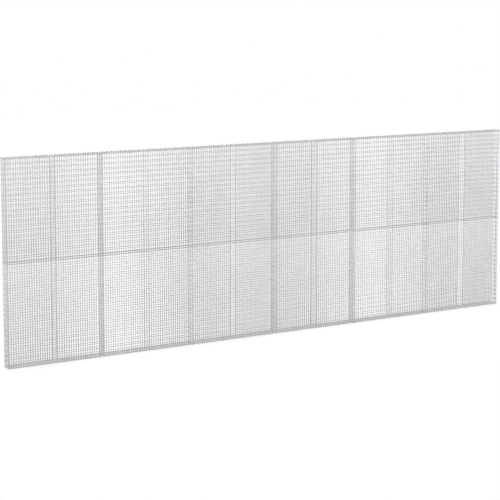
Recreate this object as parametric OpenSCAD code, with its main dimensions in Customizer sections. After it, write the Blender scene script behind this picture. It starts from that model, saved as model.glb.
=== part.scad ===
// Welded-mesh gabion fence: a long, thin row of wire baskets, standing two baskets high.
// Every side of a basket is made of flat mesh panels: upright wires in one layer and level
// wires in the next, welded together where they cross. The front and the back have two
// panels side by side in each bay.
// X runs along the fence, the front looks towards -Y and Z is up. The origin is at ground
// level, in the middle of the base.

/* [Fence] */
// Number of bays along the fence
bays = 6; // [2:2:6]
// Number of baskets one above the other
tiers = 2; // [1:1:2]
// Length of one bay
bay_length = 1000; // [500:50:1200]
// Number of panels side by side in the front of a bay, and in its back
panels_in_bay = 2; // [1:1:2]
// Height of one basket, which is the height of its panels
tier_height = 1000; // [500:50:1200]
// Clear depth between the front and the back
clear_depth = 96; // [80:2:300]
// Number of bays that one base or cover panel is long
bays_per_cover = 2; // [1:1:2]
// Gap between neighbouring panels, where they are laced together
joint_gap = 1; // [1:0.5:3]

/* [Mesh] */
// Diameter of the round wire, and the width across flats of the bar drawn for it
wire_d = 6; // [3:0.5:8]
// How far two crossing wires sink into each other at a weld
weld_sink = 0.3; // [0.1:0.1:0.4]
// Spacing of the upright wires in the front and the back
upright_pitch = 25; // [25:25:50]
// Spacing of the level wires, and of the short wires across a base or cover
level_pitch = 50; // [50:50:100]
// Number of gaps between the long wires of a narrow panel: an end, partition, base or cover
narrow_gaps = 4; // [2:2:8]
// One upright wire is drawn in this many (1 draws every wire)
upright_step = 4; // [1:1:4]
// One level wire is drawn in this many (1 draws every wire)
level_step = 2; // [1:1:2]
// One long wire of a narrow panel is drawn in this many (1 draws every wire)
narrow_step = 2; // [1:1:2]

/* [Hidden] */
// A six-sided bar has its flats wire_d apart and its corners a little more
bar_sides = 6;
flat_r = wire_d / 2;
corner_r = flat_r / cos(180 / bar_sides);

// The two welded layers, centre to centre, and a panel's thickness over its corners
layer_gap = wire_d - weld_sink;
panel_t = layer_gap + 2 * corner_r;

// Middle of the front and back panels on either side of y = 0, and of their outer layer
wall_y = (clear_depth + panel_t) / 2;
outer_y = wall_y + layer_gap / 2;

// A base or cover is as wide as the walls, and has flats on its outer face
cover_t = flat_r + layer_gap + corner_r;
cover_width = 2 * (outer_y + flat_r);

fence_length = bays * bay_length;
covers = bays / bays_per_cover;
cover_length = fence_length / covers - joint_gap;
panel_pitch = bay_length / panels_in_bay;
panel_width = panel_pitch - joint_gap;

narrow_count = narrow_gaps / narrow_step;
level_count = gaps(tier_height, level_pitch, level_step);
walls_top = cover_t + tiers * tier_height;

zinc = [0.78, 0.785, 0.8];

tier_names = [for (t = [0:tiers - 1]) ["lower", "upper"][t]];
bay_numbers = [for (b = [1:bays]) str(b)];

function face_name(side, t, b) = str(side, "_", tier_names[t], "_", bay_numbers[b]);
function faces(side) = [for (t = [0:tiers - 1], b = [0:bays - 1]) face_name(side, t, b)];

function bay_x(b) = b * bay_length - fence_length / 2;
function tier_z(t) = cover_t + t * tier_height;

// How many gaps of about one pitch fit between the middles of a panel's two edge wires
function gaps(length, pitch, step) = max(1, round((length - wire_d) / pitch / step));

// Middle of wire i of a row of wires, the first and last flush with the panel's edges
function wire_at(i, length, count) = flat_r + i * (length - wire_d) / count;

// A straight wire along +Z, with its corners towards +Y and -Y, or its flats if turned
module wire_bar(length, turned = false) {
    rotate([0, 0, turned ? 0 : 180 / bar_sides])
        cylinder(r = corner_r, h = length, $fn = bar_sides);
}

// A welded panel standing in the XZ plane, from the origin: the upright wires are in the layer
// towards -Y and the level wires in the layer towards +Y
module mesh_panel(width, height, upright_count, level_count, turned = false) {
    for (i = [0:upright_count])
        translate([wire_at(i, width, upright_count), -layer_gap / 2, 0])
            wire_bar(height, turned);
    for (j = [0:level_count])
        translate([0, layer_gap / 2, wire_at(j, height, level_count)])
            rotate([0, 90, 0])
                wire_bar(width);
}

// The panels of one bay of the back, with their level wires on the outside
module back_panels(t, b) {
    color(zinc)
        for (p = [0:panels_in_bay - 1])
            translate([bay_x(b) + p * panel_pitch + joint_gap / 2, wall_y, tier_z(t)])
                mesh_panel(panel_width, tier_height,
                    gaps(panel_width, upright_pitch, upright_step), level_count);
}

module front_panels(t, b) {
    mirror([0, 1, 0])
        back_panels(t, b);
}

// A cover lies on the walls, with its long wires below and its short wires on top of them
module cover(c) {
    color(zinc)
        translate([bay_x(c * bays_per_cover) + joint_gap / 2, -cover_width / 2,
                   walls_top + corner_r + layer_gap / 2])
            rotate([-90, 0, 0])
                mesh_panel(cover_length, cover_width,
                    gaps(cover_length, level_pitch, level_step), narrow_count, true);
}

// A base is a cover turned over: the fence stands on the flats of its short wires
module base(c) {
    translate([0, 0, walls_top + cover_t])
        mirror([0, 0, 1])
            cover(c);
}

// A narrow upright panel across the fence, one for each tier, with its middle at x
module cross_panel(x) {
    color(zinc)
        for (t = [0:tiers - 1])
            translate([x, -clear_depth / 2, tier_z(t)])
                rotate([0, 0, 90])
                    mesh_panel(clear_depth, tier_height, narrow_count, level_count);
}

module partition(j) {
    cross_panel(bay_x(j));
}

module left_end() {
    cross_panel(bay_x(0) + (panel_t + joint_gap) / 2);
}

module right_end() {
    mirror([1, 0, 0])
        left_end();
}

for (t = [0:tiers - 1], b = [0:bays - 1]) {
    front_panels(t, b);
    back_panels(t, b);
}
for (c = [0:covers - 1]) {
    base(c);
    cover(c);
}
for (j = [1:bays - 1])
    partition(j);
left_end();
right_end();
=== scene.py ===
import math
import random

import bpy
import numpy as np
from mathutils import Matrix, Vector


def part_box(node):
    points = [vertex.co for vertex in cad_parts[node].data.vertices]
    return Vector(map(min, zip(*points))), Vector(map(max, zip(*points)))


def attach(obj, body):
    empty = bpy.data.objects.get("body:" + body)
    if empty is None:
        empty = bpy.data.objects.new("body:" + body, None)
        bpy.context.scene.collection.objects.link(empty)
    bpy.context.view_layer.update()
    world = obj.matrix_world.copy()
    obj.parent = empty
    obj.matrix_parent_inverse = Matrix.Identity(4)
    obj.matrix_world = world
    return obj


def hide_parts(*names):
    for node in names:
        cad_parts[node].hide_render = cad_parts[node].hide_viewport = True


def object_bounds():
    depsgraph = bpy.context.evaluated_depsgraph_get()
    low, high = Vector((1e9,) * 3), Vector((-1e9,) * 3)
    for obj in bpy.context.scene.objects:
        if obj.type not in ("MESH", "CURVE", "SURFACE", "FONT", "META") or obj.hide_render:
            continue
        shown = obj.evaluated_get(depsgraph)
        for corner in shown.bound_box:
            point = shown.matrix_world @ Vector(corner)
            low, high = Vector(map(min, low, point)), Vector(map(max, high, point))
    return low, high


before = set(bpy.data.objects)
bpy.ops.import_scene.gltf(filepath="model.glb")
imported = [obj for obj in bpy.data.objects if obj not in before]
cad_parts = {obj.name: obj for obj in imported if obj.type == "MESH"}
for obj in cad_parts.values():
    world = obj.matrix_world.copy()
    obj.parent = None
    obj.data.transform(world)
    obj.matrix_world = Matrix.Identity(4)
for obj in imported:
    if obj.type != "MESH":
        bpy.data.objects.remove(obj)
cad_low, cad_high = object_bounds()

# ---------------------------------------------------------------- the welded mesh, in metres
WIRE_D = 0.006                # round galvanised wire
UPRIGHT_PITCH = 0.025         # upright wires of the front and the back
LEVEL_PITCH = 0.050           # level wires, and the short wires of a base or cover
NARROW_WIRES = 5              # long wires of an end, partition, base or cover
JOINT_GAP = 0.001             # between neighbouring panels
WIRE_SIDES = 12               # facets round a wire

WIRE_R = WIRE_D / 2
# a CAD bar is six-sided round its wire, so a panel's box reaches past the wires to the bars' corners
BAR_SIDES = 6
CORNER_R = WIRE_R / math.cos(math.pi / BAR_SIDES)
TIERS = ("lower", "upper")

# a weld's squeezed-out bead, across and through the panel
BEAD_R = 0.0037
BEAD_HALF_T = 0.0016
BEAD_SIDES = 8
BEAD_SPREAD = 0.2             # beads differ this much in size, up or down

# how far an inner wire may lie off its place in the mesh
UNEVEN = 0.0005

# ---------------------------------------------------------------- the zinc
ZINC = 0.64                   # its colour, before the tones below
ZINC_METALLIC = 0.7
ZINC_ROUGHNESS = 0.5
WIRE_SPREAD = 0.03            # wires differ this much in tone, up or down
# painted shade: a basket is painted darker at its foot than at its top, and most of all near the ground
FOOT_PAINTED_SHADE = {"lower": 0.83, "upper": 0.875}
TOP_PAINTED_SHADE = {"lower": 1.0, "upper": 1.01}
# painted light and shade: the partitions and ends are painted lighter against the shade deep in the fence,
# the base and covers darker against the light from the floor and from above
PANEL_PAINTED_LIGHT = {"base": 0.95, "cover": 0.92, "partition": 1.15, "left": 1.03, "right": 1.03}
# how much greener and bluer than neutral grey the dull zinc is
WALL_TINT, BASE_TINT, COVER_TINT = (1.025, 1.019), (0.992, 1.055), (1.012, 1.006)
# burnt zinc on the welds, bare steel at the cut ends
WELD_TONE, CUT_TONE = 0.9, 0.72

# how fine each pattern is, in features to the metre, and how much fine detail it has
SPANGLE_SCALE = 240
CLOUD_SCALE, CLOUD_DETAIL = 9, 4
HAZE_SCALE, HAZE_DETAIL = 0.7, 2
GRAIN_SCALE, GRAIN_ROUGH = 700, 0.6
DRIP_SCALE, DRIP_DETAIL = 160, 2
DRIP_STRETCH = (1, 1, 0.3)    # drips are drawn out up and down

# where the values of a noise mostly lie, and the tones from its lowest to its highest
NOISE_RANGE = (0.3, 0.7)
SPANGLE_TONES = (0.91, 1.09)
CLOUD_TONES = (0.94, 1.06)
HAZE_TONES = (0.98, 1.02)
# how far the tint drifts across the clouds
GREEN_DRIFT, BLUE_DRIFT = 0.005, 0.0075

# roughness from one end of the spangles' tones to the other, and what clouds and welds add to it
SPANGLE_ROUGHNESS = (ZINC_ROUGHNESS - 0.09, ZINC_ROUGHNESS + 0.05)
CLOUD_ROUGHNESS = (0.05, -0.03)
WELD_ROUGHNESS = (0, 0.12)
DRIP_HEIGHT = 2               # beside the grain's 1
BUMP_STRENGTH = 0.5
BUMP_DEPTH = 0.00025

# ---------------------------------------------------------------- light, floor and camera
SKY_LIGHT = 0.15              # what the sky gives
SKY_SEEN = 1.0                # the white that the camera and the gloss see instead
KEY_STRENGTH = 0.9            # straight down, and the only lamp with a shadow
RING_LIGHTS = 6
RING_STRENGTH = 0.42
RING_TILT = 80                # degrees from straight down
LAMP_SOFTNESS = 30            # degrees that a lamp is across
FLOOR_SIZE = 60
FLOOR_GREY = 0.8
FLOOR_GLOW = 0.54             # brings the pale floor up to white in the picture only

CAMERA_PLACE = (-8.0, -12.8718, 3.4488)
CAMERA_DOWN = 6.2701          # degrees that it looks down
CAMERA_TURN = -30.9037        # degrees from looking straight at the front
SENSOR = 36
LENS = 105.113
LENS_SHIFT = -0.17

SEED = 12
chance = random.Random(SEED)


def stray():
    """A random number from -1 to 1."""
    return 2 * chance.random() - 1


def spread(low, high, count):
    """Middles of a given number of wires, the first and the last flush with the panel's edges."""
    exact = list(np.linspace(low + WIRE_R, high - WIRE_R, count))
    inner = [place + UNEVEN * stray() for place in exact[1:-1]]
    return [exact[0], *inner, exact[-1]]


def rows(low, high, pitch):
    """Middles of a row of wires about one pitch apart, flush with the panel's edges."""
    return spread(low, high, round((high - low - WIRE_D) / pitch) + 1)


def ring(count):
    """Points spaced evenly round a circle of radius 1, across and up."""
    turn = np.arange(count) * 2 * math.pi / count
    return np.cos(turn), np.sin(turn)


class MeshSheet:
    """Collects a node's wires and welds, to be built as one mesh."""

    def __init__(self, node):
        self.low, self.high = (np.array(corner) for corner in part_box(node))
        # painted light and shade: the panel's kind makes all its wires lighter or darker
        self.painted_light = PANEL_PAINTED_LIGHT.get(node.split("_")[0], 1)
        self.points, self.faces, self.smooth = [], [], []
        self.tone, self.weld, self.cut = [], [], []
        self.count = 0

    def add(self, points, faces, smooth, tone, weld, cut):
        self.points.append(points)
        self.faces += [tuple(self.count + k for k in face) for face in faces]
        self.smooth += smooth
        # a wire's tone holds its random spread, the painted shade towards a basket's foot and the painted
        # light of its panel
        self.tone.append(self.painted_light * tone)
        self.weld.append(np.full(len(points), float(weld)))
        self.cut.append(cut)
        self.count += len(points)

    def wire(self, start, end, tones=(1, 1)):
        """A round wire between two points, with cut ends that have rings of their own."""
        start, end = np.array(start), np.array(end)
        along = (end - start) / np.linalg.norm(end - start)
        side = np.cross(along, (0, 0, 1) if abs(along[2]) < 0.5 else (1, 0, 0))
        other = np.cross(along, side)
        across, up = ring(WIRE_SIDES)
        circle = WIRE_R * (np.outer(across, side) + np.outer(up, other))
        points = np.concatenate([circle + start, circle + end, circle + start, circle + end])
        n = WIRE_SIDES
        faces = [(k, (k + 1) % n, n + (k + 1) % n, n + k) for k in range(n)]
        faces += [tuple(reversed(range(2 * n, 3 * n))), tuple(range(3 * n, 4 * n))]
        smooth = [True] * n + [False, False]
        tone = (1 + WIRE_SPREAD * stray()) * np.repeat([*tones, *tones], n)
        cut = np.repeat([0., 0., 1., 1.], n)
        self.add(points, faces, smooth, tone, 0, cut)

    def bead(self, centre, through, tone=1):
        """A weld's flattened bead, trimmed at the panel's edge: through is the axis through both wires."""
        across, up = ring(BEAD_SIDES)
        size = 1 + BEAD_SPREAD * stray()
        flat = [axis for axis in range(3) if axis != through]
        points = np.zeros((BEAD_SIDES + 2, 3))
        points[:BEAD_SIDES, flat[0]] = BEAD_R * size * across
        points[:BEAD_SIDES, flat[1]] = BEAD_R * size * up
        points[BEAD_SIDES, through] = BEAD_HALF_T
        points[BEAD_SIDES + 1, through] = -BEAD_HALF_T
        # the ring runs the other way round about Y, so its faces are turned
        turned = through == 1
        faces = []
        for k in range(BEAD_SIDES):
            after = (k + 1) % BEAD_SIDES
            pair = (after, k) if turned else (k, after)
            faces.append((*pair, BEAD_SIDES))
            faces.append((*reversed(pair), BEAD_SIDES + 1))
        self.add(np.clip(points + centre, self.low, self.high), faces, [True] * len(faces),
                 np.full(len(points), float(tone)), 1, np.zeros(len(points)))

    def build(self, name, material):
        mesh = bpy.data.meshes.new(name)
        mesh.from_pydata(np.concatenate(self.points).tolist(), [], self.faces)
        mesh.polygons.foreach_set("use_smooth", self.smooth)
        for attribute, values in (("tone", self.tone), ("weld", self.weld), ("cut", self.cut)):
            data = mesh.attributes.new(attribute, "FLOAT", "POINT").data
            data.foreach_set("value", np.concatenate(values).astype(np.float32))
        mesh.materials.append(material)
        mesh.update()
        piece = bpy.data.objects.new(name, mesh)
        bpy.context.scene.collection.objects.link(piece)
        return piece


def finish_panel(sheet, node, material):
    """Build a node's full mesh and put it in the place of the node's CAD bars."""
    piece = sheet.build(node + "_mesh", material)
    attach(piece, "root")
    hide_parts(node)


def painted_shade_between(tier, low, high):
    """The painted shade at a basket's foot and top, and a function for the painted shade at a height in
    it.
    """
    foot, top = FOOT_PAINTED_SHADE[tier], TOP_PAINTED_SHADE[tier]
    return foot, top, lambda z: foot + (top - foot) * (z - low) / (high - low)


def face_panels(node, outside, material):
    """The two panels of a bay's front or back: level wires on the outside, uprights inside."""
    low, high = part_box(node)
    outer_y, inner_y = (low.y, high.y) if outside < 0 else (high.y, low.y)
    level_y = outer_y - outside * CORNER_R
    upright_y = inner_y + outside * CORNER_R
    middle = (low.x + high.x) / 2
    sheet = MeshSheet(node)
    # painted shade: the wires are painted darker towards the basket's foot
    foot_shade, top_shade, shade_at = painted_shade_between(node.split("_")[1], low.z, high.z)
    levels = rows(low.z, high.z, LEVEL_PITCH)
    for left, right in ((low.x, middle - JOINT_GAP / 2), (middle + JOINT_GAP / 2, high.x)):
        uprights = rows(left, right, UPRIGHT_PITCH)
        for x in uprights:
            sheet.wire((x, upright_y, low.z), (x, upright_y, high.z), (foot_shade, top_shade))
        for z in levels:
            tone = shade_at(z)
            sheet.wire((left, level_y, z), (right, level_y, z), (tone, tone))
            for x in uprights:
                sheet.bead((x, (level_y + upright_y) / 2, z), 1, tone)
    finish_panel(sheet, node, material)


def cover_panel(node, outside, material):
    """A base or cover: long wires against the walls, short wires across them on the outside."""
    low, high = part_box(node)
    outer_z, inner_z = (low.z, high.z) if outside < 0 else (high.z, low.z)
    short_z = outer_z - outside * WIRE_R
    long_z = inner_z + outside * CORNER_R
    # the short bars' corners reach past the panel's ends
    edge = CORNER_R - WIRE_R
    left, right = low.x + edge, high.x - edge
    sheet = MeshSheet(node)
    long_wires = spread(low.y, high.y, NARROW_WIRES)
    for y in long_wires:
        sheet.wire((left, y, long_z), (right, y, long_z))
    for x in rows(left, right, LEVEL_PITCH):
        sheet.wire((x, low.y, short_z), (x, high.y, short_z))
        for y in long_wires:
            sheet.bead((x, y, (short_z + long_z) / 2), 2)
    finish_panel(sheet, node, material)


def cross_panels(node, upright_side, material):
    """End or partition panels, one for each tier: upright wires on the side that is given."""
    low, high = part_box(node)
    upright_x = high.x - CORNER_R if upright_side > 0 else low.x + CORNER_R
    level_x = low.x + CORNER_R if upright_side > 0 else high.x - CORNER_R
    tier_height = (high.z - low.z) / len(TIERS)
    sheet = MeshSheet(node)
    for number, tier in enumerate(TIERS):
        foot = low.z + number * tier_height
        top = foot + tier_height
        # painted shade: the wires are painted darker towards each basket's foot
        foot_shade, top_shade, shade_at = painted_shade_between(tier, foot, top)
        uprights = spread(low.y, high.y, NARROW_WIRES)
        for y in uprights:
            sheet.wire((upright_x, y, foot), (upright_x, y, top), (foot_shade, top_shade))
        for z in rows(foot, top, LEVEL_PITCH):
            tone = shade_at(z)
            sheet.wire((level_x, low.y, z), (level_x, high.y, z), (tone, tone))
            for y in uprights:
                sheet.bead(((level_x + upright_x) / 2, y, z), 0, tone)
    finish_panel(sheet, node, material)


# ---------------------------------------------------------------- materials
class Shading:
    """Short calls for the nodes of one material."""

    def __init__(self, name):
        self.material = bpy.data.materials.new(name)
        self.material.use_nodes = True
        self.tree = self.material.node_tree
        self.shader = self.tree.nodes["Principled BSDF"]

    def node(self, kind, links=None, **settings):
        made = self.tree.nodes.new(kind)
        for key, value in settings.items():
            setattr(made, key, value)
        for socket, source in (links or {}).items():
            if hasattr(source, "is_linked"):
                self.tree.links.new(source, made.inputs[socket])
            else:
                made.inputs[socket].default_value = source
        return made

    def math(self, operation, first, second):
        return self.node("ShaderNodeMath", {0: first, 1: second}, operation=operation).outputs[0]

    def span(self, value, low, high, to_low, to_high):
        return self.node("ShaderNodeMapRange", {"Value": value, "From Min": low, "From Max": high,
                                                "To Min": to_low, "To Max": to_high}).outputs[0]

    def noise(self, place, scale, detail=3, rough=0.55):
        return self.node("ShaderNodeTexNoise", {"Vector": place, "Scale": scale, "Detail": detail,
                                                "Roughness": rough}).outputs["Fac"]

    def attribute(self, name):
        return self.node("ShaderNodeAttribute", attribute_name=name).outputs["Fac"]


def galvanised(name, tint):
    """Dull hot-dip zinc: small spangles, cloudy patches, greyer welds and darker cut ends."""
    zinc = Shading(name)
    greener, bluer = tint
    place = zinc.node("ShaderNodeTexCoord").outputs["Object"]
    spangle = zinc.node("ShaderNodeTexVoronoi", {"Vector": place, "Scale": SPANGLE_SCALE}).outputs["Color"]
    spangle = zinc.node("ShaderNodeSeparateColor", {0: spangle}).outputs[0]
    cloud = zinc.noise(place, CLOUD_SCALE, CLOUD_DETAIL)
    haze = zinc.noise(place, HAZE_SCALE, HAZE_DETAIL)
    grain = zinc.noise(place, GRAIN_SCALE, rough=GRAIN_ROUGH)
    drawn_out = zinc.node("ShaderNodeMapping", {"Vector": place, "Scale": DRIP_STRETCH}).outputs[0]
    drips = zinc.noise(drawn_out, DRIP_SCALE, DRIP_DETAIL)
    weld, cut = zinc.attribute("weld"), zinc.attribute("cut")

    # the tone attribute brings in each wire's random spread and its painted light and shade
    level = zinc.attribute("tone")
    for share in (zinc.span(spangle, 0, 1, *SPANGLE_TONES),
                  zinc.span(cloud, *NOISE_RANGE, *CLOUD_TONES),
                  zinc.span(haze, *NOISE_RANGE, *HAZE_TONES),
                  zinc.span(weld, 0, 1, 1, WELD_TONE),
                  zinc.span(cut, 0, 1, 1, CUT_TONE),
                  ZINC):
        level = zinc.math("MULTIPLY", level, share)
    # the duller patches are the greener ones
    green_share = zinc.span(cloud, *NOISE_RANGE, greener + GREEN_DRIFT, greener - GREEN_DRIFT)
    blue_share = zinc.span(cloud, *NOISE_RANGE, bluer - BLUE_DRIFT, bluer + BLUE_DRIFT)
    green = zinc.math("MULTIPLY", level, green_share)
    blue = zinc.math("MULTIPLY", level, blue_share)
    colour = zinc.node("ShaderNodeCombineColor", {0: level, 1: green, 2: blue}).outputs[0]

    rough = zinc.math("ADD", zinc.span(spangle, 0, 1, *SPANGLE_ROUGHNESS),
                      zinc.span(cloud, *NOISE_RANGE, *CLOUD_ROUGHNESS))
    rough = zinc.math("ADD", rough, zinc.span(weld, 0, 1, *WELD_ROUGHNESS))
    height = zinc.math("ADD", grain, zinc.math("MULTIPLY", drips, DRIP_HEIGHT))
    bump = zinc.node("ShaderNodeBump",
                     {"Height": height, "Strength": BUMP_STRENGTH, "Distance": BUMP_DEPTH})
    zinc.tree.links.new(colour, zinc.shader.inputs["Base Color"])
    zinc.tree.links.new(rough, zinc.shader.inputs["Roughness"])
    zinc.tree.links.new(bump.outputs[0], zinc.shader.inputs["Normal"])
    zinc.shader.inputs["Metallic"].default_value = ZINC_METALLIC
    return zinc.material


# ---------------------------------------------------------------- the studio
def seen_directly(tree):
    """1 for rays that show the background itself: from the camera, or off gloss."""
    path = tree.nodes.new("ShaderNodeLightPath")
    most = tree.nodes.new("ShaderNodeMath")
    most.operation = "MAXIMUM"
    tree.links.new(path.outputs["Is Camera Ray"], most.inputs[0])
    tree.links.new(path.outputs["Is Glossy Ray"], most.inputs[1])
    return most.outputs[0]


def set_floor(level):
    """A pale floor that takes the fence's shadow and is white in the picture."""
    bpy.ops.mesh.primitive_plane_add(size=FLOOR_SIZE, location=(0, 0, level))
    floor = bpy.context.object
    floor.name = "floor"
    material = bpy.data.materials.new("floor")
    material.use_nodes = True
    tree = material.node_tree
    nodes, links = tree.nodes, tree.links
    nodes.clear()
    out = nodes.new("ShaderNodeOutputMaterial")
    diffuse = nodes.new("ShaderNodeBsdfDiffuse")
    diffuse.inputs["Color"].default_value = (FLOOR_GREY, FLOOR_GREY, FLOOR_GREY, 1)
    glow = nodes.new("ShaderNodeEmission")
    glow.inputs["Strength"].default_value = FLOOR_GLOW
    add = nodes.new("ShaderNodeAddShader")
    links.new(diffuse.outputs[0], add.inputs[0])
    links.new(glow.outputs[0], add.inputs[1])
    mix = nodes.new("ShaderNodeMixShader")
    links.new(seen_directly(tree), mix.inputs[0])
    links.new(diffuse.outputs[0], mix.inputs[1])
    links.new(add.outputs[0], mix.inputs[2])
    links.new(mix.outputs[0], out.inputs[0])
    floor.data.materials.append(material)


def set_world():
    """A white backdrop that lights the fence only weakly."""
    world = bpy.data.worlds.new("studio")
    bpy.context.scene.world = world
    world.use_nodes = True
    nodes, links = world.node_tree.nodes, world.node_tree.links
    nodes.clear()
    out = nodes.new("ShaderNodeOutputWorld")
    mix = nodes.new("ShaderNodeMixShader")
    links.new(seen_directly(world.node_tree), mix.inputs[0])
    for socket, strength in ((1, SKY_LIGHT), (2, SKY_SEEN)):
        light = nodes.new("ShaderNodeBackground")
        light.inputs["Color"].default_value = (1, 1, 1, 1)
        light.inputs["Strength"].default_value = strength
        links.new(light.outputs[0], mix.inputs[socket])
    links.new(mix.outputs[0], out.inputs[0])


def set_lights():
    """A soft key light from above, and soft fill all round that reaches the inside of the fence."""
    step = 360 / RING_LIGHTS
    lamps = [("key", 0, 0, KEY_STRENGTH)]
    lamps += [(f"fill_{number}", RING_TILT, (number + 0.5) * step, RING_STRENGTH)
              for number in range(RING_LIGHTS)]
    for name, tilt, turn, strength in lamps:
        light = bpy.data.lights.new(name, "SUN")
        light.energy = strength
        light.angle = math.radians(LAMP_SOFTNESS)
        light.use_shadow = name == "key"
        lamp = bpy.data.objects.new(name, light)
        lamp.rotation_euler = (math.radians(tilt), 0, math.radians(turn))
        bpy.context.scene.collection.objects.link(lamp)


def set_camera():
    """View from the left and in front, a little over the top of the fence."""
    data = bpy.data.cameras.new("camera")
    camera = bpy.data.objects.new("camera", data)
    bpy.context.scene.collection.objects.link(camera)
    data.sensor_width = SENSOR
    data.lens = LENS
    data.shift_y = LENS_SHIFT
    camera.location = CAMERA_PLACE
    camera.rotation_euler = (math.radians(90 - CAMERA_DOWN), 0, math.radians(CAMERA_TURN))
    bpy.context.scene.camera = camera


# ---------------------------------------------------------------- the scene
wall_zinc = galvanised("wall_zinc", WALL_TINT)
base_zinc = galvanised("base_zinc", BASE_TINT)
cover_zinc = galvanised("cover_zinc", COVER_TINT)
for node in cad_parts:
    if node.startswith("front"):
        face_panels(node, -1, wall_zinc)
    elif node.startswith("back"):
        face_panels(node, 1, wall_zinc)
    elif node.startswith("base"):
        cover_panel(node, -1, base_zinc)
    elif node.startswith("cover"):
        cover_panel(node, 1, cover_zinc)
    else:
        cross_panels(node, -1 if node == "right_end" else 1, wall_zinc)

set_floor(cad_low.z)
set_world()
set_lights()
set_camera()
bpy.context.scene.view_settings.view_transform = "Standard"
